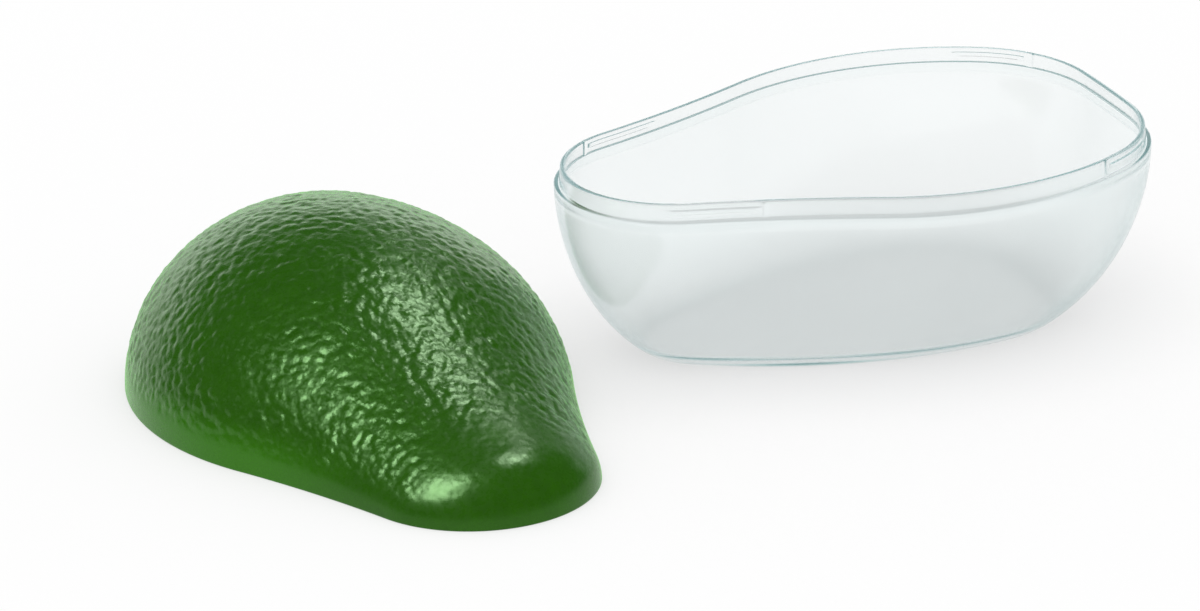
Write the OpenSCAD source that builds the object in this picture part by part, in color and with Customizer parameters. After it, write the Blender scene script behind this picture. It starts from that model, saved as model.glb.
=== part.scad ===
// Avocado keeper: a clear bowl with a snap lip, and a domed green lid that stands beside it.
// The narrow end of the bowl points to -X. All sizes are in millimetres.

/* [Plan outline of ledge and lid] */
// Overall length of the ledge and of the lid's rim
case_length = 145; // [130:1:170]
// Overall width at the belly
case_width = 102; // [94:1:116]
// How far the belly lies from mid-length, towards the wide end
belly_x = 20; // [14:1:26]
// Radius of the nearly straight wide end
end_r = 400; // [200:10:800]
// Radius of the two corners beside the wide end
corner_r = 35; // [28:1:42]
// Radius of the belly
belly_r = 69; // [62:1:78]
// Radius of the hollow waist between belly and nose
waist_r = 310; // [200:10:600]
// Radius of the rounded narrow end
nose_r = 29; // [24:1:34]

/* [Bowl] */
// Height of the ledge above the foot's face
bowl_height = 42.5; // [36:0.5:46]
// Length of the flat foot
foot_length = 101.5; // [92:0.5:112]
// Width of the flat foot
foot_width = 65; // [56:1:74]
// How far the foot's middle lies from mid-length, towards the narrow end
foot_shift = 1.5; // [-3:0.5:4]
// How far the foot's widest place lies from its own middle
foot_belly_x = 17.5; // [12:0.5:22]
// Radius of the foot's corners beside its wide end
foot_corner_r = 24; // [18:1:28]
// Radius of the foot's long sides
foot_belly_r = 105; // [80:1:140]
// Roundness of the wall's curve, 2 being an ellipse
wall_curve = 1.9; // [1.6:0.1:2.4]
// Depth below the ledge at which the wall's curve would turn level
wall_run = 47.2; // [46.5:0.1:60]
// Thickness of the wall
wall = 1.4; // [1.2:0.1:2]
// Thickness of the floor
floor_t = 1.6; // [1:0.1:3]

/* [Snap lip] */
// Width of the ledge that the lid's rim sits on
ledge_w = 1.3; // [1.2:0.1:2]
// Height of the lip above the ledge
lip_h = 4.2; // [3.6:0.1:6]
// Thickness of the lip
lip_t = 1.1; // [0.8:0.1:1.6]
// How far the lip leans in over its height
lip_lean = 0.3; // [0:0.05:0.5]
// Height of the lead-in chamfer at the lip's top
lip_ease = 0.3; // [0.1:0.05:0.4]
// How far a bead stands out of the lip
bead_out = 0.35; // [0.2:0.05:0.45]
// Height of a bead
bead_h = 1.3; // [1:0.1:1.6]
// Height of the beads' crest above the ledge
bead_z = 2.2; // [1.8:0.1:2.4]
// Length along X of a bead beside the nose
nose_bead = 20.5; // [12:0.5:24]
// Distance from mid-length to the middle of the nose beads
nose_bead_x = 46; // [40:1:50]
// Length along X of a bead at a corner of the wide end
corner_bead = 15; // [10:0.5:18]
// Distance from mid-length to the middle of the corner beads
corner_bead_x = 56.5; // [50:0.5:60]

/* [Lid] */
// Height of the lid's crown above its rim
crown_height = 43.5; // [38:0.5:50]
// How far the crown lies from mid-length, towards the wide end
crown_x = 25.5; // [20:0.5:31]
// Radius of the lid's wide end, seen from the side
lid_end_r = 140; // [110:5:250]
// Radius of the shoulder above the wide end, seen from the side
shoulder_r = 35; // [30:1:38]
// Radius of the crown, seen from the side
crown_r = 86; // [74:1:100]
// Radius of the saddle between crown and nose, seen from the side
saddle_r = 200; // [150:10:400]
// Radius of the nose, seen from the side
lid_nose_r = 15; // [13:0.5:19]
// Thickness of the lid above its snap rim
lid_wall = 1.5; // [1.3:0.1:2.2]
// Gap between the closed lid and the lip's side
fit_gap = 0.15; // [0.1:0.05:0.25]
// Gap between the closed lid and the lip's top
top_gap = 0.3; // [0.2:0.05:0.6]

/* [Lid beside the bowl] */
// Least gap along X between the lid and the bowl's narrow end
lid_gap = 1; // [1:0.5:60]
// Place of the lid's middle along Y
lid_y = -11; // [-40:1:40]
// Turn of the lid against the bowl, in degrees
lid_turn = 95.5; // [60:0.5:120]

/* [Hidden] */

// Points round each level of a shell
steps = 96;
// Levels between the foot and the ledge, and between the rim and the crown
wall_levels = 12;
dome_levels = 15;
// Elevation of the last level below the crown, in degrees
top_level = 84;
// Share of a bead's length over which each end tapers
bead_taper = 0.12;
// Share of the wall by which the floor's inner corner lies inside the foot's edge
floor_corner = 0.3;
// Turn points of a chain of arcs, by index
TO_CORNER = 0;
TO_PEAK = 1;
TO_WAIST = 2;
TO_NOSE = 3;

// A chain is half of a closed outline above the X axis, as five arcs that run into each other:
// blunt end, corner, peak, hollow waist and nose. It is held as centres and radii.
END = 0;
CORNER = 1;
PEAK = 2;
WAIST = 3;
NOSE = 4;

plan = chain(case_length, case_width / 2, belly_x, [end_r, corner_r, belly_r, waist_r, nose_r]);
foot = egg(foot_length, foot_width / 2, foot_belly_x, [end_r, foot_corner_r, foot_belly_r]);
side = chain(case_length, crown_height, crown_x, [lid_end_r, shoulder_r, crown_r, saddle_r, lid_nose_r]);

lip_top = bowl_height + lip_h;
skirt_h = lip_h + top_gap;
lid_reach = max([for (p = level(plan, 0, 0)) p.x * cos(lid_turn) - p.y * sin(lid_turn)]);
lid_x = -case_length / 2 - lid_gap - lid_reach;

function unit(v) = v / norm(v);

// The upper of the two points that lie ra from a and rb from b
function meet(a, ra, b, rb) =
    let (u = unit(b - a), d = norm(b - a), m = (d * d + ra * ra - rb * rb) / (2 * d))
    a + m * u + sqrt(ra * ra - m * m) * [-u.y, u.x];

function chain(length, half, peak_x, r) =
    let (
        end = [length / 2 - r[END], 0],
        peak = [peak_x, half - r[PEAK]],
        nose = [r[NOSE] - length / 2, 0],
        corner = meet(end, r[END] - r[CORNER], peak, r[PEAK] - r[CORNER]),
        waist = meet(nose, r[NOSE] + r[WAIST], peak, r[PEAK] + r[WAIST])
    )
    [[end, corner, peak, waist, nose], r];

// A chain with no hollow waist: its nose is the one circle that runs straight into the sides
function egg(length, half, peak_x, r) =
    let (
        across = length / 2 + peak_x,
        deep = r[PEAK] - half,
        nose_radius = (r[PEAK] * r[PEAK] - across * across - deep * deep) / (2 * (r[PEAK] - across)),
        end = [length / 2 - r[END], 0],
        peak = [peak_x, -deep],
        nose = [nose_radius - length / 2, 0],
        corner = meet(end, r[END] - r[CORNER], peak, r[PEAK] - r[CORNER]),
        waist = nose + 2 * nose_radius * unit(nose - peak)
    )
    [[end, corner, peak, waist, nose], [r[END], r[CORNER], r[PEAK], nose_radius, nose_radius]];

// Where one arc turns into the next, on the outline drawn inset from the chain's own
function turns(c, inset) =
    let (at = c[0], r = c[1])
    [
        at[END] + (r[END] - inset) * unit(at[CORNER] - at[END]),
        at[PEAK] + (r[PEAK] - inset) * unit(at[CORNER] - at[PEAK]),
        at[PEAK] + (r[PEAK] - inset) * unit(at[WAIST] - at[PEAK]),
        at[NOSE] + (r[NOSE] - inset) * unit(at[WAIST] - at[NOSE])
    ];

// The leg of a right triangle, and 0 where rounding leaves none
function leg(r, a) = sqrt(max(0, r * r - a * a));

// Height of the chain above the X axis at x
function height(c, inset, x) =
    let (at = c[0], r = c[1], t = turns(c, inset))
    x > t[TO_CORNER].x ? at[END].y + leg(r[END] - inset, x - at[END].x)
    : x > t[TO_PEAK].x ? at[CORNER].y + leg(r[CORNER] - inset, x - at[CORNER].x)
    : x > t[TO_WAIST].x ? at[PEAK].y + leg(r[PEAK] - inset, x - at[PEAK].x)
    : x > t[TO_NOSE].x ? at[WAIST].y - leg(r[WAIST] + inset, x - at[WAIST].x)
    : at[NOSE].y + leg(r[NOSE] - inset, x - at[NOSE].x);

// Where the chain passes the height y on its blunt side
function blunt_x(c, inset, y) =
    let (at = c[0], r = c[1], t = turns(c, inset))
    y < t[TO_CORNER].y ? at[END].x + leg(r[END] - inset, y - at[END].y)
    : y < t[TO_PEAK].y ? at[CORNER].x + leg(r[CORNER] - inset, y - at[CORNER].y)
    : at[PEAK].x + leg(r[PEAK] - inset, y - at[PEAK].y);

// Where the chain passes the height y on its nose side
function nose_x(c, inset, y) =
    let (at = c[0], r = c[1], t = turns(c, inset))
    y < t[TO_NOSE].y ? at[NOSE].x - leg(r[NOSE] - inset, y - at[NOSE].y)
    : y < t[TO_WAIST].y ? at[WAIST].x + leg(r[WAIST] + inset, y - at[WAIST].y)
    : at[PEAK].x - leg(r[PEAK] - inset, y - at[PEAK].y);

function half_sign(a) = a < 180 ? 1 : -1;

// The point numbered j of the outline c, inset and lying flat at the height z
function ring_point(c, inset, z, j) =
    let (
        far = blunt_x(c, inset, 0),
        near = nose_x(c, inset, 0),
        a = 360 * j / steps,
        x = (far + near) / 2 + (far - near) / 2 * cos(a)
    )
    [x, half_sign(a) * height(c, inset, x), z];

function level(c, inset, z) = [for (j = [0 : steps - 1]) ring_point(c, inset, z, j)];

// Points of the dome at the height z: every section across it is half an ellipse
function dome_level(inset, z) =
    let (far = blunt_x(side, inset, z), near = nose_x(side, inset, z))
    [
        for (j = [0 : steps - 1])
            let (
                a = 360 * j / steps,
                x = (far + near) / 2 + (far - near) / 2 * cos(a),
                share = min(1, z / height(side, inset, x))
            )
            [x, half_sign(a) * height(plan, inset, x) * sqrt(1 - share * share), z]
    ];

function shifted(points, dx) = [for (p = points) [p.x + dx, p.y, p.z]];

// How far in the wall is at the height z, from 0 at the ledge to 1 at the foot, for a curve of the depth run
function wall_in(z, run) =
    let (
        reach = pow(1 - pow((bowl_height - z) / run, wall_curve), 1 / wall_curve),
        foot_reach = pow(1 - pow(bowl_height / wall_run, wall_curve), 1 / wall_curve)
    )
    (1 - reach) / (1 - foot_reach);

// Points of the wall at the height z, from the foot's edge to the ledge's
function wall_level(inset, foot_inset, z, run) =
    let (
        rim = level(plan, inset, z),
        base = shifted(level(foot, foot_inset, z), -foot_shift),
        share = wall_in(z, run)
    )
    [for (j = [0 : steps - 1]) rim[j] * (1 - share) + base[j] * share];

// 1 along the middle of each bead and 0 clear of them, for a bead longer by spare at each end
function along_bead(x, spare) =
    let (
        at = x < 0 ? -nose_bead_x : corner_bead_x,
        long = x < 0 ? nose_bead : corner_bead,
        left = long / 2 + spare - abs(x - at)
    )
    min(1, max(0, left / (long * bead_taper)));

// The lip's side at the height z above the ledge, drawn out by reach where the beads are
function lip_level(z, out, reach, spare, base_z) =
    let (inset = ledge_w + lip_lean * z / lip_h - out)
    [
        for (j = [0 : steps - 1])
            let (p = ring_point(plan, inset, 0, j))
            ring_point(plan, inset - reach * along_bead(p.x, spare), base_z + z, j)
    ];

function reverse(list) = [for (k = [len(list) - 1 : -1 : 0]) list[k]];

function flatten(lists) = [for (l = lists) for (v = l) v];

// A closed skin over rings of points, from a first end point to a last one
module skin(first, rings, last) {
    count = len(rings);
    points = concat([first], flatten(rings), [last]);
    end = len(points) - 1;
    faces = concat(
        [for (j = [0 : steps - 1]) [0, 1 + j, 1 + (j + 1) % steps]],
        [
            for (k = [0 : count - 2])
                for (j = [0 : steps - 1])
                    let (
                        a = 1 + k * steps + j,
                        b = 1 + k * steps + (j + 1) % steps,
                        c = a + steps,
                        d = b + steps
                    )
                    each [[a, c, b], [b, c, d]]
        ],
        [for (j = [0 : steps - 1]) [end, end - steps + (j + 1) % steps, end - steps + j]]
    );
    polyhedron(points, faces);
}

// Heights from low to high, closer together at the low end
function rising(low, high, count) = [for (k = [0 : count]) low + (high - low) * (1 - cos(90 * k / count))];

bead_low = bead_z - bead_h / 2;
bead_high = bead_z + bead_h / 2;
lip_in = ledge_w + lip_t;
throat = bowl_height - wall;
inner_run = wall_run - wall;

module bowl() {
    outside = [for (z = rising(0, bowl_height, wall_levels)) wall_level(0, 0, z, wall_run)];
    lip_side = [
        lip_level(0, 0, 0, 0, bowl_height),
        lip_level(bead_low, 0, 0, 0, bowl_height),
        lip_level(bead_z, 0, bead_out, 0, bowl_height),
        lip_level(bead_high, 0, 0, 0, bowl_height),
        lip_level(lip_h - lip_ease, 0, 0, 0, bowl_height),
        level(plan, ledge_w + lip_lean + lip_ease / 2, lip_top)
    ];
    inside = [for (z = rising(floor_t, throat - wall, wall_levels)) wall_level(wall, wall * floor_corner, z, inner_run)];
    lip_inside = [level(plan, lip_in, throat), level(plan, lip_in + lip_lean, lip_top)];
    rings = concat(outside, lip_side, reverse(lip_inside), reverse(inside));
    color([0.85, 0.92, 0.92, 0.45])
        skin([-foot_shift, 0, 0], rings, [-foot_shift, 0, floor_t]);
}

// The lid with its rim at z = 0, in line with the bowl
module closed_lid() {
    top = crown_height - lid_wall;
    low_turn = asin(skirt_h / top);
    outside = [for (k = [0 : dome_levels]) dome_level(0, crown_height * sin(top_level * k / dome_levels))];
    inside = [
        for (k = [0 : dome_levels])
            dome_level(lid_wall, top * sin(low_turn + (top_level - low_turn) * k / dome_levels))
    ];
    groove = bead_out + fit_gap;
    skirt = [
        lip_level(0, fit_gap, 0, 0, 0),
        lip_level(bead_low - fit_gap, fit_gap, 0, 0, 0),
        lip_level(bead_z, fit_gap, bead_out, fit_gap, 0),
        lip_level(bead_high + fit_gap, fit_gap, 0, 0, 0),
        level(plan, ledge_w + lip_lean - fit_gap, skirt_h)
    ];
    rings = concat(reverse(inside), reverse(skirt), outside);
    color([0.2, 0.42, 0.08])
        skin([crown_x, 0, top], rings, [crown_x, 0, crown_height]);
}

module lid() {
    translate([lid_x, lid_y, 0])
        rotate([0, 0, lid_turn])
            closed_lid();
}

bowl();
lid();
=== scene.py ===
# Avocado saver: a clear bowl and a pebbled green lid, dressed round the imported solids

import math

import bpy
import numpy as np
from mathutils import Matrix, Vector


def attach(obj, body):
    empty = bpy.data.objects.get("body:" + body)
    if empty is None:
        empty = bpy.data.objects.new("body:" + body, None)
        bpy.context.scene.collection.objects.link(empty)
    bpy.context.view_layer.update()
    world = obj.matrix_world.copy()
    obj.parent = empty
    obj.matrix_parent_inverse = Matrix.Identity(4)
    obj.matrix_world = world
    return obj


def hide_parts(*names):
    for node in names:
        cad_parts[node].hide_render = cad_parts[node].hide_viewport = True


bl_info = {
    "name": "Avocado Saver",
    "version": (1, 0, 0),
    "blender": (4, 5, 0),
    "location": "3D View > Sidebar > Saver",
    "description": "Builds a clear bowl and a pebbled green lid that hold half an avocado",
    "category": "Add Mesh",
}

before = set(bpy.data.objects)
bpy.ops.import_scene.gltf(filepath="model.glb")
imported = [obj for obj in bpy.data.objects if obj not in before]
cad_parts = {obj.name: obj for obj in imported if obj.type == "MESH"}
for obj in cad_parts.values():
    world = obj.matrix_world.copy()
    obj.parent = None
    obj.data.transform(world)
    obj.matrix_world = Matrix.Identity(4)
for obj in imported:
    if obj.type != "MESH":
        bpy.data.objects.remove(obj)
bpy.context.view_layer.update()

# Order of the arcs in an outline, from its blunt end to its nose
END, CORNER, PEAK, WAIST, NOSE = range(5)

# Range that holds nearly all values of a noise texture
NOISE = (0.3, 0.7)

# Heights above the rim, in smooth bands, at which the pebbles are full and the band's painted bounce light has
# gone
FULL_SKIN, END_OF_PAINTED_LIGHT = 2.2, 3.2

# Distances from the nose, in reaches of its smooth skin, of the smoothest part and of the band's full painted
# bounce light
NOSE_CORE, FULL_PAINTED_LIGHT = 0.6, 2.2

# The lamps: name, place, width and height, and the place that they all face
LAMPS = (
    ("right_lamp", (0.36, 0.19, 1.14), 0.27, 0.27),
    ("low_lamp", (0.48, 0.55, 0.89), 0.11, 0.11),
    ("left_lamp", (-0.98, 0.08, 0.88), 0.12, 0.12),
    ("near_lamp", (-0.210, -0.086, 0.130), 0.070, 0.100),
)
FACED = Vector((-0.04, 0, 0.02))


# Sizes and settings


def length(name, description, default):
    """A size in metres that the user can change."""
    return bpy.props.FloatProperty(
        name=name, description=description, default=default, min=0.0, precision=5, unit="LENGTH"
    )


def place(name, description, default):
    """A coordinate in metres that the user can change."""
    return bpy.props.FloatProperty(
        name=name, description=description, default=default, precision=5, unit="LENGTH"
    )


def number(name, description, default, least=0.0):
    """A plain number that the user can change."""
    return bpy.props.FloatProperty(name=name, description=description, default=default, min=least)


def colour(name, description, default):
    """A linear colour that the user can change."""
    return bpy.props.FloatVectorProperty(
        name=name, description=description, default=default, size=4, min=0.0, max=1.0, subtype="COLOR"
    )


class SaverOutline(bpy.types.PropertyGroup):
    """The outline seen from above, shared by the bowl's ledge and the lid's rim."""

    long: length("Length", "Overall length of the ledge and the rim", 0.145)
    wide: length("Width", "Overall width at the belly", 0.102)
    belly_x: place("Belly", "Place of the belly along X, from mid-length", 0.020)
    end_r: length("End Radius", "Radius of the nearly straight wide end", 0.400)
    corner_r: length("Corner Radius", "Radius of the corners beside the wide end", 0.035)
    belly_r: length("Belly Radius", "Radius of the belly", 0.069)
    waist_r: length("Waist Radius", "Radius of the hollow waist", 0.310)
    nose_r: length("Nose Radius", "Radius of the narrow end", 0.029)


class SaverBowl(bpy.types.PropertyGroup):
    """Sizes and look of the clear bowl."""

    high: length("Height", "Height of the ledge above the foot", 0.0425)
    foot_long: length("Foot Length", "Length of the flat foot", 0.1015)
    foot_wide: length("Foot Width", "Width of the flat foot", 0.065)
    foot_shift: place("Foot Shift", "How far the foot lies towards the narrow end", 0.0015)
    foot_belly_x: place("Foot Belly", "Widest place of the foot, from its own middle", 0.0175)
    foot_corner_r: length("Foot Corner Radius", "Radius of the corners of the foot's wide end", 0.024)
    foot_belly_r: length("Foot Side Radius", "Radius of the foot's long sides", 0.105)
    wall_curve: number("Wall Roundness", "Roundness of the wall's curve, 2 being an ellipse", 1.9, least=1.0)
    wall_run: length("Wall Run", "Depth below the ledge at which the wall would turn level", 0.0472)
    wall: length("Wall", "Thickness of the wall", 0.0014)
    floor: length("Floor", "Thickness of the floor", 0.0016)
    ledge: length("Ledge", "Width of the ledge that the lid's rim sits on", 0.0013)
    lip_high: length("Lip Height", "Height of the lip above the ledge", 0.0042)
    lip_thick: length("Lip Thickness", "Thickness of the lip", 0.0011)
    lip_lean: length("Lip Lean", "How far the lip leans in over its height", 0.0003)
    bead_out: length("Bead", "How far a snap bead stands out of the lip", 0.00035)
    bead_high: length("Bead Height", "Height of a snap bead", 0.0013)
    bead_side: length("Bead Side", "Height of each slanting side of a snap bead", 0.00025)
    bead_z: length("Bead Place", "Height of the beads above the ledge", 0.0022)
    nose_bead: length("Nose Bead Length", "Length along X of a bead beside the nose", 0.0205)
    nose_bead_x: place("Nose Bead Place", "Middle of the nose beads along X", -0.046)
    corner_bead: length("Corner Bead Length", "Length along X of a bead at a corner", 0.015)
    corner_bead_x: place("Corner Bead Place", "Middle of the corner beads along X", 0.0565)
    rib: length("Rib", "Width of the upright rib that ends each bead", 0.0008)
    tint: colour("Tint", "Tint of light that crosses the plastic", (0.80, 0.90, 0.90, 1.0))
    tint_depth: number("Tint Density", "How fast the plastic takes its tint, per metre", 130.0)
    # Colour of the painted glow in the plastic's edges
    edge: colour("Edge", "Colour of light that goes on round and round inside an edge", (0.19, 0.25, 0.255, 1.0))


class SaverLid(bpy.types.PropertyGroup):
    """Sizes and look of the green lid."""

    high: length("Height", "Height of the crown above the rim", 0.0435)
    crown_x: place("Crown", "Place of the crown along the lid's own X", 0.0255)
    end_r: length("End Radius", "Radius of the wide end, seen from the side", 0.140)
    shoulder_r: length("Shoulder Radius", "Radius of the shoulder above the wide end", 0.035)
    crown_r: length("Crown Radius", "Radius of the crown, seen from the side", 0.086)
    saddle_r: length("Saddle Radius", "Radius of the saddle between crown and nose", 0.200)
    nose_r: length("Nose Radius", "Radius of the nose, seen from the side", 0.015)
    wall: length("Wall", "Thickness of the lid above its rim", 0.0015)
    fit_gap: length("Fit Gap", "Gap between the closed lid and the lip's side", 0.00015)
    top_gap: length("Top Gap", "Gap between the closed lid and the lip's top", 0.0003)
    beside: length("Gap to Bowl", "Gap along X between the lid and the bowl's narrow end", 0.001)
    across: place("Place Across", "Place of the lid's middle along Y", -0.011)
    turn: bpy.props.FloatProperty(
        name="Turn", description="Turn of the lid against the bowl", default=math.radians(95.5), subtype="ANGLE"
    )
    pebble: length("Pebble Pitch", "Distance from pebble to pebble in the skin", 0.0021)
    pebble_deep: length("Pebble Depth", "Depth of the valleys between the pebbles", 0.00025)
    wrinkle: length("Wrinkle Size", "Size of the fine wrinkles over the pebbles", 0.0016)
    wrinkle_deep: length("Wrinkle Depth", "Depth of the fine wrinkles", 0.00016)
    smooth_band: length("Smooth Band", "Height of the smooth band above the rim", 0.0042)
    smooth_nose: length("Smooth Nose", "Reach of the smoother skin round the nose", 0.032)
    seed: bpy.props.IntProperty(name="Seed", description="Seed of the pebbles", default=7)
    green: colour("Green", "Colour of the skin", (0.022, 0.108, 0.0003, 1.0))
    deep_green: colour("Deep Green", "Colour of the darker mottles", (0.014, 0.077, 0.0003, 1.0))
    # Painted bounce light: the smooth band above the rim is painted this lighter green where light from the floor
    # falls on it
    band_painted_light: colour("Band Green", "Colour of the smooth band above the rim", (0.028, 0.15, 0.0003, 1.0))
    gloss: colour("Gloss", "Tint of the light that the skin mirrors", (0.60, 0.97, 0.50, 1.0))
    sheen: colour("Sheen", "Tint of the soft sheen at glancing angles", (0.34, 1.0, 0.24, 1.0))


class SaverStage(bpy.types.PropertyGroup):
    """Floor, lamps and camera."""

    floor: colour("Floor", "Colour of the pale floor", (0.96, 0.96, 0.96, 1.0))
    floor_reach: length("Floor Reach", "Half the width of the floor", 6.0)
    lens: number("Lens", "Focal length in millimetres on a 36 mm wide sensor", 240.35, least=1.0)
    eye: bpy.props.FloatVectorProperty(
        name="Eye", description="Place of the camera", default=(-0.74702, -1.62021, 0.72547), subtype="TRANSLATION"
    )
    gaze: bpy.props.FloatVectorProperty(
        name="Gaze", description="Direction in which the camera looks", default=(0.3602, 0.8541, -0.3751)
    )
    roll: bpy.props.FloatProperty(
        name="Roll", description="Turn of the picture, clockwise as seen", default=-0.02193, subtype="ANGLE"
    )
    right_lamp: number("Right Lamp", "Power of the lamp behind to the right, in watts", 5.8)
    low_lamp: number("Low Lamp", "Power of the small lamp below it, in watts", 0.55)
    left_lamp: number("Left Lamp", "Power of the lamp to the left, in watts", 0.42)
    near_lamp: number("Near Lamp", "Power of the small lamp close above the lid's nose, in watts", 0.46)


# Outlines


def unit(v):
    """The direction of v, with a length of 1."""
    return v / np.linalg.norm(v)


def meeting(a, reach_a, b, reach_b):
    """The upper of the two points that lie reach_a from a and reach_b from b."""
    gap = np.linalg.norm(b - a)
    u = (b - a) / gap
    along = (gap * gap + reach_a**2 - reach_b**2) / (2 * gap)
    return a + along * u + math.sqrt(reach_a**2 - along**2) * np.array([-u[1], u[0]])


class Outline:
    """Half of a closed outline above the X axis, as five arcs that run into each other."""

    def __init__(self, long, half, peak_x, end_r, corner_r, peak_r, waist_r=None, nose_r=None):
        end = np.array([long / 2 - end_r, 0.0])
        peak = np.array([peak_x, half - peak_r])
        if nose_r is None:
            across, deep = long / 2 + peak_x, peak_r - half
            nose_r = (peak_r**2 - across**2 - deep**2) / (2 * (peak_r - across))
            nose = np.array([nose_r - long / 2, 0.0])
            waist, waist_r = nose + 2 * nose_r * unit(nose - peak), nose_r
        else:
            nose = np.array([nose_r - long / 2, 0.0])
            waist = meeting(nose, nose_r + waist_r, peak, peak_r + waist_r)
        corner = meeting(end, end_r - corner_r, peak, peak_r - corner_r)
        self.centres = [end, corner, peak, waist, nose]
        self.radii = [end_r, corner_r, peak_r, waist_r, nose_r]
        self.bearings = [unit(corner - end), unit(corner - peak), unit(waist - peak), unit(waist - nose)]

    def joins(self, inset):
        """X at which one arc runs into the next, on the outline drawn inset."""
        c, r = self.centres, self.radii
        return [
            c[hub][0] + (r[hub] - inset) * bearing[0]
            for hub, bearing in zip((END, PEAK, PEAK, NOSE), self.bearings)
        ]

    def height(self, inset, x):
        """Height of the outline above the X axis at x."""
        c, r = self.centres, self.radii

        def rise(arc, way):
            leg = np.sqrt(np.maximum((r[arc] - way * inset) ** 2 - (x - c[arc][0]) ** 2, 0.0))
            return c[arc][1] + way * leg

        arcs = [rise(END, 1), rise(CORNER, 1), rise(PEAK, 1), rise(WAIST, -1)]
        return np.select([x > join for join in self.joins(inset)], arcs, rise(NOSE, 1))

    def span(self, inset):
        """Where the inset outline crosses the X axis, at its nose and at its blunt end."""
        c, r = self.centres, self.radii
        return c[NOSE][0] - (r[NOSE] - inset), c[END][0] + r[END] - inset

    def ring(self, turns, inset, z):
        """Points of the closed outline at the given turns, inset and lying flat at z."""
        near, far = self.span(inset)
        x = (far + near) / 2 + (far - near) / 2 * np.cos(turns)
        y = np.where(turns < math.pi, 1.0, -1.0) * self.height(inset, x)
        return np.stack([x, y, np.full_like(x, z)], axis=1)

    def walk(self, count):
        """Evenly spaced points along the closed outline, and their outward directions."""
        c, r = self.centres, self.radii
        marks = [0.0] + [math.atan2(b[1], b[0]) for b in self.bearings] + [math.pi]
        sizes = [r[arc] * abs(marks[arc + 1] - marks[arc]) for arc in range(5)]
        ends = np.concatenate([[0.0], np.cumsum(sizes)])
        way = np.arange(count) / count * 2
        upper = way <= 1
        s = np.where(upper, way, 2 - way) * ends[-1]
        arc = np.clip(np.searchsorted(ends, s, side="right") - 1, 0, 4)
        share = (s - ends[arc]) / np.array(sizes)[arc]
        bearing = np.array(marks[:-1])[arc] + share * np.diff(marks)[arc]
        out = np.stack([np.cos(bearing), np.sin(bearing)], axis=1)
        side = np.where(arc == WAIST, -1.0, 1.0)[:, None]
        points = np.array(c)[arc] + side * np.array(r)[arc][:, None] * out
        flip = np.where(upper, 1.0, -1.0)[:, None]
        return points * [[1, 0]] + points * flip * [[0, 1]], out * [[1, 0]] + out * flip * [[0, 1]]


def plan_outline():
    """The outline of the ledge and the rim, seen from above."""
    p = bpy.context.scene.saver_outline
    return Outline(p.long, p.wide / 2, p.belly_x, p.end_r, p.corner_r, p.belly_r, p.waist_r, p.nose_r)


# Rings and skins


def flat(points, z):
    """Plan points lying at the height z."""
    return np.column_stack([points, np.full(len(points), z)])


def bend(a, corner, b, count=4):
    """Rings that round the corner between the rings a and b, both of them included."""
    return [(1 - t) ** 2 * a + 2 * t * (1 - t) * corner + t * t * b for t in np.linspace(0, 1, count + 1)]


def swell(u):
    """A smooth bump: 1 at u = 0 and 0 beyond -1 and 1."""
    return np.where(np.abs(u) < 1, np.cos(np.clip(u, -1, 1) * math.pi / 2) ** 2, 0.0)


def strip(a, count_a, b, count_b):
    """Faces between two closed rings of points that start at the numbers a and b."""
    if count_a == count_b:
        nexts = [(j + 1) % count_a for j in range(count_a)]
        return [(a + j, b + j, b + k, a + k) for j, k in enumerate(nexts)]
    faces, i, j = [], 0, 0
    while i < count_a or j < count_b:
        if j < count_b and (i == count_a or (j + 0.5) * count_a <= (i + 0.5) * count_b):
            faces.append((a + i % count_a, b + j, b + (j + 1) % count_b))
            j += 1
        else:
            faces.append((a + i, b + j % count_b, a + (i + 1) % count_a))
            i += 1
    return faces


def skin(name, first, rings, last):
    """A closed, smooth piece over rings of points, from a first end point to a last one."""
    parts = [np.array([first])] + list(rings) + [np.array([last])]
    starts = np.concatenate([[0], np.cumsum([len(p) for p in parts])])
    faces = [(0, 1 + j, 1 + (j + 1) % len(rings[0])) for j in range(len(rings[0]))]
    for k in range(1, len(rings)):
        faces += strip(int(starts[k]), len(parts[k]), int(starts[k + 1]), len(parts[k + 1]))
    tip, base, count = int(starts[-2]), int(starts[-3]), len(rings[-1])
    faces += [(base + (j + 1) % count, base + j, tip) for j in range(count)]
    mesh = bpy.data.meshes.new(name)
    mesh.from_pydata(np.concatenate(parts).tolist(), [], faces)
    mesh.shade_smooth()
    piece = bpy.data.objects.new(name, mesh)
    bpy.context.scene.collection.objects.link(piece)
    return piece


# Nodes, in materials, in the sky and in the pebbled skin


def fill(tree, node, inputs):
    """Gives a node's inputs plain values, or links them to the outputs of other nodes."""
    for key, value in inputs.items():
        if isinstance(value, bpy.types.NodeSocket):
            tree.links.new(value, node.inputs[key])
        else:
            node.inputs[key].default_value = value
    return node


def add(tree, kind, inputs=None, **settings):
    """Adds a node with the given settings and inputs."""
    node = tree.nodes.new(kind)
    for name, value in settings.items():
        setattr(node, name, value)
    return fill(tree, node, inputs or {})


def maths(tree, operation, *values):
    """The result of one sum over plain values and the outputs of other nodes."""
    return add(tree, "ShaderNodeMath", dict(enumerate(values)), operation=operation).outputs[0]


def spread(tree, value, low, high, to_low=0.0, to_high=1.0):
    """Maps low..high of the value smoothly to to_low..to_high."""
    inputs = {"Value": value, "From Min": low, "From Max": high, "To Min": to_low, "To Max": to_high}
    return add(tree, "ShaderNodeMapRange", inputs, interpolation_type="SMOOTHSTEP").outputs["Result"]


def mixed(tree, share, a, b, kind):
    """What lies at the given share of the way from a to b."""
    return add(tree, "ShaderNodeMix", {"Factor": share, "A": a, "B": b}, data_type=kind).outputs["Result"]


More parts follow.
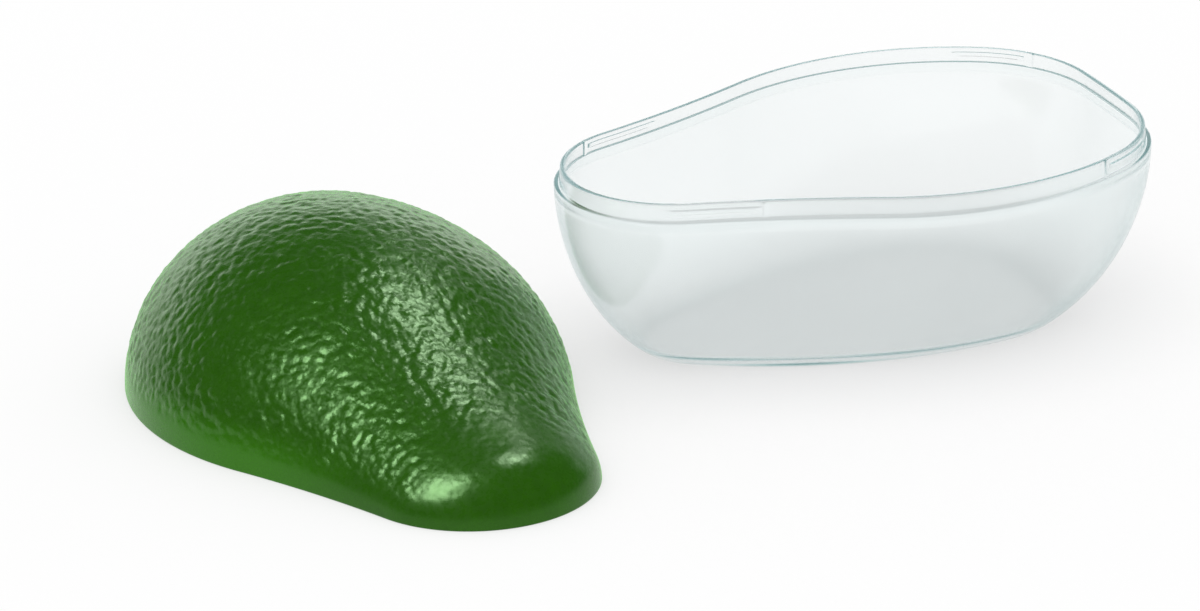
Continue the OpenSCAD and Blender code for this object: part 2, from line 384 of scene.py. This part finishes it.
def noise(tree, source, size, detail=2.0):
    """A noise texture whose features are about size across."""
    inputs = {"Vector": source, "Scale": 1 / size, "Detail": detail}
    return add(tree, "ShaderNodeTexNoise", inputs).outputs["Fac"]


def height_of(tree, source):
    """The Z of a place or a direction."""
    return add(tree, "ShaderNodeSeparateXYZ", {0: source}).outputs["Z"]


def distance(tree, a, b):
    """How far apart two places are."""
    return add(tree, "ShaderNodeVectorMath", {0: a, 1: b}, operation="DISTANCE").outputs["Value"]


def relief_shares(tree, height, from_nose, band, reach, least):
    """How strong the skin's relief is: by the height above the rim, and round the nose, from least to 1."""
    full_skin = maths(tree, "MULTIPLY", band, FULL_SKIN)
    nose_core = maths(tree, "MULTIPLY", reach, NOSE_CORE)
    return spread(tree, height, band, full_skin), spread(tree, from_nose, nose_core, reach, least, 1.0)


# Materials


def new_material(name):
    """A material with its node tree, its Principled shader and its output."""
    material = bpy.data.materials.new(name)
    material.use_nodes = True
    tree = material.node_tree
    return material, tree, tree.nodes["Principled BSDF"], tree.nodes["Material Output"]


def clear_plastic():
    """Clear moulded plastic, with a faint waviness, a cool tint where light runs along it, and a painted glow in
    its edges.
    """
    look = bpy.context.scene.saver_bowl
    material, tree, shader, output = new_material("clear_plastic")
    where = add(tree, "ShaderNodeTexCoord").outputs["Object"]
    haze = noise(tree, where, 0.03)
    waves = noise(tree, where, 0.018, detail=1.0)
    bump = add(tree, "ShaderNodeBump", {"Strength": 0.25, "Distance": 0.0002, "Height": waves})
    turned_back = add(tree, "ShaderNodeLightPath").outputs["Glossy Depth"]
    fill(tree, shader, {
        "Base Color": (0.985, 0.995, 0.995, 1.0),
        "Transmission Weight": 1.0,
        "IOR": 1.47,
        "Roughness": spread(tree, haze, *NOISE, 0.11, 0.17),
        "Normal": bump.outputs["Normal"],
        # Light that has turned back more than three times counts as held by the edge: there the plastic glows in
        # the edge colour, a painted glow in place of the light lost past the bounce limit
        "Emission Strength": maths(tree, "GREATER_THAN", turned_back, 3.5),
        "Emission Color": look.edge,
    })
    material.cycles.emission_sampling = "NONE"
    depth = add(tree, "ShaderNodeVolumeAbsorption", {"Color": look.tint, "Density": look.tint_depth})
    fill(tree, output, {"Volume": depth.outputs["Volume"]})
    return material


def green_skin(nose):
    """Glossy green plastic with soft mottles, fine wrinkles, a slightly uneven polish, and painted bounce light: a
    lighter green band low on the lid, away from the nose.
    """
    look = bpy.context.scene.saver_lid
    band, reach = look.smooth_band, look.smooth_nose
    material, tree, shader, _ = new_material("green_skin")
    where = add(tree, "ShaderNodeTexCoord").outputs["Object"]
    height, from_nose = height_of(tree, where), distance(tree, where, nose)
    mottles = noise(tree, where, 0.004, detail=3.0)
    mottled = mixed(tree, mottles, look.deep_green, look.green, "RGBA")
    # Painted bounce light: the band low on the lid is painted lighter, fading out upwards and towards the nose
    low = spread(tree, height, band, END_OF_PAINTED_LIGHT * band, 1.0, 0.0)
    pale = maths(tree, "MULTIPLY", low, spread(tree, from_nose, reach, FULL_PAINTED_LIGHT * reach))
    polish = noise(tree, where, 0.0012, detail=1.0)
    wrinkled = maths(tree, "MULTIPLY", *relief_shares(tree, height, from_nose, band, reach, 0.35))
    wrinkles = noise(tree, where, look.wrinkle, detail=1.0)
    bump = add(tree, "ShaderNodeBump", {"Strength": wrinkled, "Distance": look.wrinkle_deep, "Height": wrinkles})
    fill(tree, shader, {
        "Base Color": mixed(tree, pale, mottled, look.band_painted_light, "RGBA"),
        "Roughness": spread(tree, polish, *NOISE, 0.25, 0.32),
        "Normal": bump.outputs["Normal"],
        "Specular IOR Level": 0.4,
        "Specular Tint": look.gloss,
        "Sheen Weight": 0.8,
        "Sheen Roughness": 0.26,
        "Sheen Tint": look.sheen,
    })
    return material


# Bowl


def rib_places():
    """Where the upright ribs stand: X, and the side as a sign."""
    b = bpy.context.scene.saver_bowl
    nose, corner = b.nose_bead / 2 + b.rib, b.corner_bead / 2 + b.rib
    return (
        (b.nose_bead_x + nose, -1),
        (b.nose_bead_x - nose, 1),
        (b.corner_bead_x - corner, -1),
        (b.corner_bead_x + corner, 1),
    )


def bowl_lip(plan, turns, z):
    """The lip's outer side at the height z above the ledge, with its beads and upright ribs."""
    b = bpy.context.scene.saver_bowl
    bead_taper, rib_fade, rib_share = 0.05, 0.0005, 0.8
    inset = b.ledge + b.lip_lean * z / b.lip_high
    x, y = plan.ring(turns, inset, 0.0)[:, :2].T
    reach = np.zeros_like(x)
    for middle, size in ((b.nose_bead_x, b.nose_bead), (b.corner_bead_x, b.corner_bead)):
        taper = np.clip((size / 2 - np.abs(x - middle)) / (bead_taper * size), 0, 1)
        crest = np.clip((b.bead_high / 2 - abs(z - b.bead_z)) / b.bead_side, 0, 1)
        reach = np.maximum(reach, b.bead_out * taper * crest)
    upright = np.clip(np.minimum(z, b.lip_high - z) / rib_fade, 0, 1)
    for middle, side in rib_places():
        ridge = swell((x - middle) / b.rib) * (y * side > 0)
        reach = np.maximum(reach, rib_share * b.bead_out * ridge * upright)
    return plan.ring(turns, inset - reach, b.high + z)


def bowl_turns(plan):
    """Turns of the bowl's columns: evenly spread, and closer together at the ribs."""
    b = bpy.context.scene.saver_bowl
    columns, rib_columns, rib_widths, least_step = 288, 9, 1.1, 1e-4
    near, far = plan.span(b.ledge)
    turns = list(np.arange(columns) / columns * 2 * math.pi)
    for middle, side in rib_places():
        for step in np.linspace(-rib_widths, rib_widths, rib_columns):
            turn = math.acos(((middle + step * b.rib) * 2 - far - near) / (far - near))
            turns.append(turn if side > 0 else 2 * math.pi - turn)
    turns = np.sort(turns)
    return turns[np.concatenate([[True], np.diff(turns) > least_step])]


class SAVER_OT_bowl(bpy.types.Operator):
    """Builds the clear bowl with its foot, ledge, snap lip, beads and ribs"""

    bl_idname = "saver.bowl"
    bl_label = "Build Bowl"

    def execute(self, context):
        b = context.scene.saver_bowl
        plan = plan_outline()
        foot = Outline(
            b.foot_long, b.foot_wide / 2, b.foot_belly_x, plan.radii[END], b.foot_corner_r, b.foot_belly_r
        )
        turns = bowl_turns(plan)
        curve = b.wall_curve
        round_floor, round_shoulder, round_foot, edge = 0.0025, 0.0008, 0.0009, 0.0004
        inner_rows, throat_rows, lip_rows, outer_rows = 26, 4, 9, 32
        top, throat = b.high + b.lip_high, b.high - b.wall
        lip_in = b.ledge + b.lip_thick
        foot_wall = 0.3 * b.wall

        def share(z, run):
            """How far the wall has gone from the ledge's outline to the foot's at the height z."""
            reach = (1 - ((b.high - z) / run) ** curve) ** (1 / curve)
            return (1 - reach) / (1 - (1 - (b.high / b.wall_run) ** curve) ** (1 / curve))

        def wall(inset, foot_inset, z, run=b.wall_run):
            base = foot.ring(turns, foot_inset, z) - [b.foot_shift, 0, 0]
            return plan.ring(turns, inset, z) * (1 - share(z, run)) + base * share(z, run)

        def inner(inset, z):
            return wall(b.wall + inset, foot_wall + inset, z, b.wall_run - b.wall)

        def lip_inside(z):
            return plan.ring(turns, lip_in + b.lip_lean * (z - throat) / (top - throat), z)

        # Floor and inner side of the wall
        rings = [inner(2 * round_floor, b.floor)]
        rings += bend(inner(round_floor, b.floor), inner(0, b.floor), inner(0, b.floor + round_floor), 6)
        low, high = b.floor + round_floor, throat - b.wall - round_shoulder
        rows = np.linspace(0, math.pi / 2, inner_rows)[1:-1]
        rings += [inner(0, low + (high - low) * (1 - math.cos(t))) for t in rows]

        # Slope under the ledge, and inner side of the lip
        low_turn, high_turn = inner(0, throat - b.wall), plan.ring(turns, lip_in, throat)
        rings += bend(inner(0, high), low_turn, low_turn * 0.6 + high_turn * 0.4)
        rings += bend(low_turn * 0.4 + high_turn * 0.6, high_turn, lip_inside(throat + round_shoulder))
        rings += [lip_inside(z) for z in np.linspace(throat + round_shoulder, top - edge, throat_rows)[1:-1]]

        # Top and outer side of the lip
        rim_in, rim_out = lip_in + b.lip_lean, b.ledge + b.lip_lean
        rings += bend(lip_inside(top - edge), lip_inside(top), plan.ring(turns, rim_in - edge, top))
        lip_top, lip_corner = plan.ring(turns, rim_out + edge, top), plan.ring(turns, rim_out, top)
        rings += bend(lip_top, lip_corner, bowl_lip(plan, turns, b.lip_high - edge))
        steps = np.arange(-1, 5) * b.bead_side / 3 + b.bead_high / 2 - b.bead_side
        near_bead = [b.bead_z + way * step for way in (1, -1) for step in steps]
        levels = np.concatenate([np.linspace(b.lip_high - edge, edge, lip_rows)[1:-1], near_bead])
        rings += [bowl_lip(plan, turns, z) for z in np.sort(levels)[::-1]]

        # Ledge, outer side of the wall, and foot
        ledge_in = plan.ring(turns, b.ledge, b.high)
        rings += bend(bowl_lip(plan, turns, edge), ledge_in, plan.ring(turns, b.ledge - edge, b.high))
        rings += bend(plan.ring(turns, edge, b.high), plan.ring(turns, 0.0, b.high), wall(0, 0, b.high - edge))
        low, high = round_foot, b.high - edge
        rows = np.linspace(math.pi / 2, 0, outer_rows)[1:-1]
        rings += [wall(0, 0, low + (high - low) * (1 - math.cos(t))) for t in rows]
        rings += bend(wall(0, 0, low), wall(0, 0, 0), wall(round_foot, round_foot, 0), 5)
        rings += [wall(2 * round_foot, 2 * round_foot, 0)]

        piece = skin("clear_bowl", (-b.foot_shift, 0, b.floor), rings, (-b.foot_shift, 0, 0))
        piece.data.materials.append(clear_plastic())
        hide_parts("bowl")
        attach(piece, "bowl")
        return {"FINISHED"}


# Lid


def dome_ring(plan, side, inset, count, low, share):
    """One ring of the dome: share 0 is its middle, and share 1 its edge at the height low."""
    points, out = plan.walk(count)
    edge = points - inset * out
    least_reach, halvings = 0.6, 30

    def lift(reach):
        """Height of the dome at the given reach from its middle."""
        x, y = (edge * reach[:, None]).T
        half = np.maximum(plan.height(inset, x), 1e-9)
        return side.height(inset, x) * np.sqrt(np.clip(1 - (y / half) ** 2, 0, 1))

    near, far = np.full(count, least_reach), np.ones(count)
    for _ in range(halvings):
        middle = (near + far) / 2
        above = lift(middle) > low
        near, far = np.where(above, middle, near), np.where(above, far, middle)
    reach = np.sin(np.arcsin(near) * share)
    return np.column_stack([edge * reach[:, None], lift(reach)])


def pebbled_skin_tree():
    """Geometry nodes that press valleys into the outer skin, so that pebbles stand between them."""
    tree = bpy.data.node_groups.new("pebbled_skin", "GeometryNodeTree")
    tree.interface.new_socket("Skin", in_out="OUTPUT", socket_type="NodeSocketGeometry")
    for name, kind in (
        ("Shell", "Geometry"), ("Pitch", "Float"), ("Depth", "Float"), ("Smooth Band", "Float"),
        ("Nose", "Vector"), ("Smooth Nose", "Float"), ("Seed", "Int"), ("Material", "Material"),
    ):
        tree.interface.new_socket(name, in_out="INPUT", socket_type="NodeSocket" + kind)
    given = add(tree, "NodeGroupInput").outputs
    position = add(tree, "GeometryNodeInputPosition").outputs[0]

    def seeded(kind, per_pitch, **settings):
        """A texture that the seed starts, with per_pitch features in each pitch."""
        scale = maths(tree, "DIVIDE", per_pitch, given["Pitch"])
        return add(tree, kind, {"Vector": position, "W": given["Seed"], "Scale": scale}, **settings)

    patches = seeded("ShaderNodeTexNoise", 0.3, noise_dimensions="4D")
    strength = spread(tree, patches.outputs["Fac"], *NOISE, 0.8, 1.0)
    domes = seeded("ShaderNodeTexVoronoi", 1.0, voronoi_dimensions="4D", feature="SMOOTH_F1")
    fill(tree, domes, {"Smoothness": 0.3})
    swells = seeded("ShaderNodeTexNoise", 0.9, noise_dimensions="4D")
    fill(tree, swells, {"Detail": 0.5})
    steepness = 2.2
    sides = maths(tree, "MULTIPLY", maths(tree, "POWER", domes.outputs["Distance"], 2.0), steepness)
    valley = maths(tree, "ADD", sides, spread(tree, swells.outputs["Fac"], *NOISE, 0.0, 0.3))
    height, from_nose = height_of(tree, position), distance(tree, position, given["Nose"])
    band, nose = relief_shares(tree, height, from_nose, given["Smooth Band"], given["Smooth Nose"], 0.25)

    outer = add(tree, "GeometryNodeInputNamedAttribute", {"Name": "outer"}, data_type="FLOAT")
    depth = maths(tree, "MULTIPLY", given["Depth"], outer.outputs["Attribute"])
    for part in (valley, strength, band, nose):
        depth = maths(tree, "MULTIPLY", depth, part)
    normal = add(tree, "GeometryNodeInputNormal").outputs[0]
    inputs = {0: normal, "Scale": maths(tree, "MULTIPLY", depth, -1.0)}
    inwards = add(tree, "ShaderNodeVectorMath", inputs, operation="SCALE").outputs[0]
    pressed = add(tree, "GeometryNodeSetPosition", {"Geometry": given["Shell"], "Offset": inwards})
    whole = add(tree, "GeometryNodeRealizeInstances", {0: pressed.outputs[0]})
    finish = add(tree, "GeometryNodeSetMaterial", {"Geometry": whole.outputs[0], "Material": given["Material"]})
    add(tree, "NodeGroupOutput", {0: finish.outputs[0]})
    return tree


def apply_tree(piece, tree, values):
    """Runs the tree on the piece with the named values, and keeps the result as its plain mesh."""
    modifier = piece.modifiers.new(tree.name, "NODES")
    modifier.node_group = tree
    for item in tree.interface.items_tree:
        if item.item_type == "SOCKET" and item.in_out == "INPUT" and item.name in values:
            modifier[item.identifier] = values[item.name]
    shell = piece.data
    evaluated = piece.evaluated_get(bpy.context.evaluated_depsgraph_get())
    made = bpy.data.meshes.new_from_object(evaluated)
    piece.modifiers.remove(modifier)
    piece.data = made
    made.name = piece.name
    bpy.data.meshes.remove(shell)


class SAVER_OT_lid(bpy.types.Operator):
    """Builds the green lid with its pebbled dome, rim and grooved skirt"""

    bl_idname = "saver.lid"
    bl_label = "Build Lid"

    def execute(self, context):
        d, b, p = context.scene.saver_lid, context.scene.saver_bowl, context.scene.saver_outline
        plan = plan_outline()
        side = Outline(p.long, d.high, d.crown_x, d.end_r, d.shoulder_r, d.crown_r, d.saddle_r, d.nose_r)
        skirt = b.lip_high + d.top_gap
        edge, groove_taper = 0.0004, 0.12
        rows, inner_rows, skirt_rows, per_row = 158, 42, 16, 6
        outer_count, inner_count = per_row * rows, per_row * inner_rows

        def level(count, inset, z):
            points, out = plan.walk(count)
            return flat(points - np.reshape(inset, (-1, 1)) * out, z)

        def skirt_ring(z):
            """The skirt's inner side at the height z, with the grooves that take the beads."""
            inset = b.ledge + b.lip_lean * z / b.lip_high - d.fit_gap
            x = plan.walk(inner_count)[0][:, 0]
            groove = np.zeros(inner_count)
            for middle, size in ((b.nose_bead_x, b.nose_bead), (b.corner_bead_x, b.corner_bead)):
                taper = np.clip((size / 2 + d.fit_gap - np.abs(x - middle)) / (groove_taper * size), 0, 1)
                across = swell((z - b.bead_z) / (b.bead_high / 2 + d.fit_gap))
                groove = np.maximum(groove, b.bead_out * taper * across)
            return level(inner_count, inset - groove, z)

        # Outer side and rim
        rings = [dome_ring(plan, side, 0, per_row * k, edge, k / rows) for k in range(1, rows + 1)]
        skin_points = 1 + sum(len(r) for r in rings)
        rings += bend(rings[-1], level(outer_count, 0, 0), level(outer_count, edge, 0), 3)[1:]
        inset = b.ledge - d.fit_gap
        rings += [level(inner_count, 1.6 * edge, 0), level(inner_count, inset - edge, 0)]

        # Skirt and inner side
        rings += bend(rings[-1], level(inner_count, inset, 0), skirt_ring(edge), 3)[1:]
        rings += [skirt_ring(z) for z in np.linspace(edge, skirt - edge, skirt_rows)[1:]]
        low_dome = dome_ring(plan, side, d.wall, inner_count, skirt, 1)
        rings += bend(rings[-1], level(inner_count, inset + b.lip_lean, skirt), low_dome, 4)[1:]
        rings += [
            dome_ring(plan, side, d.wall, per_row * k, skirt, k / inner_rows) for k in range(inner_rows - 1, 0, -1)
        ]
        crown, inner_crown = (side.height(inset, np.zeros(1))[0] for inset in (0, d.wall))
        piece = skin("green_lid", (0, 0, crown), rings, (0, 0, inner_crown))
        outer = piece.data.attributes.new("outer", "FLOAT", "POINT")
        outer.data.foreach_set("value", np.arange(len(piece.data.vertices)) < skin_points)

        # Its place beside the bowl
        turn = Matrix.Rotation(d.turn, 4, "Z")
        x, y = plan.ring(np.linspace(0, 2 * math.pi, 720, endpoint=False), 0, 0)[:, :2].T
        reach = np.max(x * math.cos(d.turn) - y * math.sin(d.turn))
        where = Matrix.Translation((-p.long / 2 - d.beside - reach, d.across, 0)) @ turn
        piece.data.transform(where)

        nose_inset, nose_z = 0.004, 0.004
        nose = tuple(where @ Vector((-p.long / 2 + nose_inset, 0, nose_z)))
        values = {
            "Pitch": d.pebble, "Depth": d.pebble_deep, "Smooth Band": d.smooth_band,
            "Nose": nose, "Smooth Nose": d.smooth_nose, "Seed": d.seed, "Material": green_skin(nose),
        }
        apply_tree(piece, pebbled_skin_tree(), values)
        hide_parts("lid")
        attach(piece, "lid")
        return {"FINISHED"}


# Stage


def lamp(name, spot, wide, tall, watts, lit):
    """A soft box lamp that faces the object and is seen only in the gloss of the pieces in lit."""
    light = bpy.data.lights.new(name, "AREA")
    light.shape = "RECTANGLE"
    light.size, light.size_y = wide, tall
    light.energy = watts
    holder = bpy.data.objects.new(name, light)
    holder.visible_diffuse = False
    holder.visible_camera = False
    holder.light_linking.receiver_collection = lit
    bpy.context.scene.collection.objects.link(holder)
    holder.location = spot
    holder.rotation_euler = (FACED - Vector(spot)).to_track_quat("-Z", "Y").to_euler()


def seen_directly(tree):
    """1 for rays from the camera and for those that crossed clear plastic or were mirrored, 0 for others."""
    path = add(tree, "ShaderNodeLightPath").outputs
    seen = maths(tree, "MAXIMUM", path["Is Camera Ray"], path["Is Glossy Ray"])
    return maths(tree, "MAXIMUM", seen, path["Is Transmission Ray"])


class SAVER_OT_stage(bpy.types.Operator):
    """Lays the pale floor, hangs the lamps round the lid and sets the camera"""

    bl_idname = "saver.stage"
    bl_label = "Set Stage"

    def execute(self, context):
        scene = context.scene
        s = scene.saver_stage
        scene.view_settings.view_transform = "Standard"
        self.make_floor(s)
        self.make_sky(scene)
        lit = bpy.data.collections.new("lit_by_lamps")
        lit.objects.link(bpy.data.objects["green_lid"])
        for name, spot, wide, tall in LAMPS:
            lamp(name, spot, wide, tall, getattr(s, name), lit)
        self.make_camera(scene, s)
        return {"FINISHED"}

    def make_floor(self, s):
        """A pale floor that partly shines by itself, with a painted contact shadow: it shines a little less close
        to the object.
        """
        shine, shine_in_painted_shadow, close_by = 0.72, 0.8, 0.04
        mesh = bpy.data.meshes.new("floor")
        r = s.floor_reach
        mesh.from_pydata([(-r, -r, 0), (r, -r, 0), (r, r, 0), (-r, r, 0)], [], [(0, 1, 2, 3)])
        piece = bpy.data.objects.new("floor", mesh)
        bpy.context.scene.collection.objects.link(piece)
        material, tree, shader, output = new_material("pale_floor")
        tree.nodes.remove(shader)
        paint = add(tree, "ShaderNodeBsdfDiffuse", {"Color": s.floor})
        # Painted contact shadow: the floor's own glow is dimmed where the object is close by
        free = add(tree, "ShaderNodeAmbientOcclusion", {"Distance": close_by}).outputs["AO"]
        glow = add(tree, "ShaderNodeEmission", {"Strength": spread(tree, free, 0.0, 1.0, shine_in_painted_shadow, 1.0)})
        share = maths(tree, "MULTIPLY", seen_directly(tree), shine)
        mix = add(tree, "ShaderNodeMixShader", {0: share, 1: paint.outputs[0], 2: glow.outputs[0]})
        fill(tree, output, {"Surface": mix.outputs[0]})
        mesh.materials.append(material)

    def make_sky(self, scene):
        """A pale room with a dark ceiling, bright behind the object, and plain white to the camera."""
        world = bpy.data.worlds.new("studio")
        world.use_nodes = True
        world.cycles.sampling_method = "NONE"
        scene.world = world
        tree = world.node_tree
        direction = add(tree, "ShaderNodeTexCoord").outputs["Generated"]
        up = height_of(tree, direction)
        to_the_back = (0.26, 0.966, 0.0)
        behind = add(tree, "ShaderNodeVectorMath", {0: direction, 1: to_the_back}, operation="DOT_PRODUCT")
        path = add(tree, "ShaderNodeLightPath").outputs

        def met(name):
            """1 once a ray has met one surface of the named kind, 0 before."""
            return maths(tree, "GREATER_THAN", path[name], 0.5)

        # Brightness as the skin mirrors it, as seen through plastic, as it lights the object, and to the camera
        bright_back = spread(tree, behind.outputs["Value"], 0.42, 0.85, 0.0, 1.75)
        strength = maths(tree, "MULTIPLY", bright_back, spread(tree, up, 0.12, 0.66, 1.0, 0.02))
        for ray, brightness in (
            (met("Transmission Depth"), spread(tree, up, 0.15, 0.60, 1.0, 0.15)),
            (met("Diffuse Depth"), spread(tree, up, 0.1, 0.55, 1.25, 1.0)),
            (path["Is Camera Ray"], 1.0),
        ):
            strength = mixed(tree, ray, strength, brightness, "FLOAT")
        fill(tree, tree.nodes["Background"], {"Color": (1.0, 1.0, 1.0, 1.0), "Strength": strength})

    def make_camera(self, scene, s):
        """A camera that looks along the gaze from the eye, rolled a little."""
        camera = bpy.data.objects.new("camera", bpy.data.cameras.new("camera"))
        scene.collection.objects.link(camera)
        camera.data.sensor_width = 36.0
        camera.data.lens = s.lens
        camera.data.clip_end = 20.0
        gaze = Vector(s.gaze).normalized()
        right = gaze.cross(Vector((0, 0, 1))).normalized()
        up = right.cross(gaze)
        level = (math.cos(s.roll), math.sin(s.roll))
        across = right * level[0] + up * level[1]
        above = up * level[0] - right * level[1]
        turn = Matrix((across, above, -gaze)).transposed().to_4x4()
        camera.matrix_world = Matrix.Translation(Vector(s.eye)) @ turn
        scene.camera = camera


# Panel and registration


class SAVER_PT_panel(bpy.types.Panel):
    """Lists the builders and the sizes they read"""

    bl_label = "Avocado Saver"
    bl_idname = "SAVER_PT_panel"
    bl_space_type = "VIEW_3D"
    bl_region_type = "UI"
    bl_category = "Saver"

    def draw(self, context):
        layout = self.layout
        for operator in (SAVER_OT_bowl, SAVER_OT_lid, SAVER_OT_stage):
            layout.operator(operator.bl_idname)
        for group, (settings, title) in GROUPS.items():
            box = layout.box()
            box.label(text=title)
            for name in settings.__annotations__:
                box.prop(getattr(context.scene, group), name)


GROUPS = {
    "saver_outline": (SaverOutline, "Outline"),
    "saver_bowl": (SaverBowl, "Bowl"),
    "saver_lid": (SaverLid, "Lid"),
    "saver_stage": (SaverStage, "Stage"),
}
CLASSES = [g[0] for g in GROUPS.values()] + [SAVER_OT_bowl, SAVER_OT_lid, SAVER_OT_stage, SAVER_PT_panel]


def register():
    for item in CLASSES:
        bpy.utils.register_class(item)
    for name, settings in GROUPS.items():
        setattr(bpy.types.Scene, name, bpy.props.PointerProperty(type=settings[0]))


def unregister():
    for name in GROUPS:
        delattr(bpy.types.Scene, name)
    for item in reversed(CLASSES):
        bpy.utils.unregister_class(item)


def main():
    register()
    bpy.ops.saver.bowl()
    bpy.ops.saver.lid()
    bpy.ops.saver.stage()


if __name__ == "__main__":
    main()
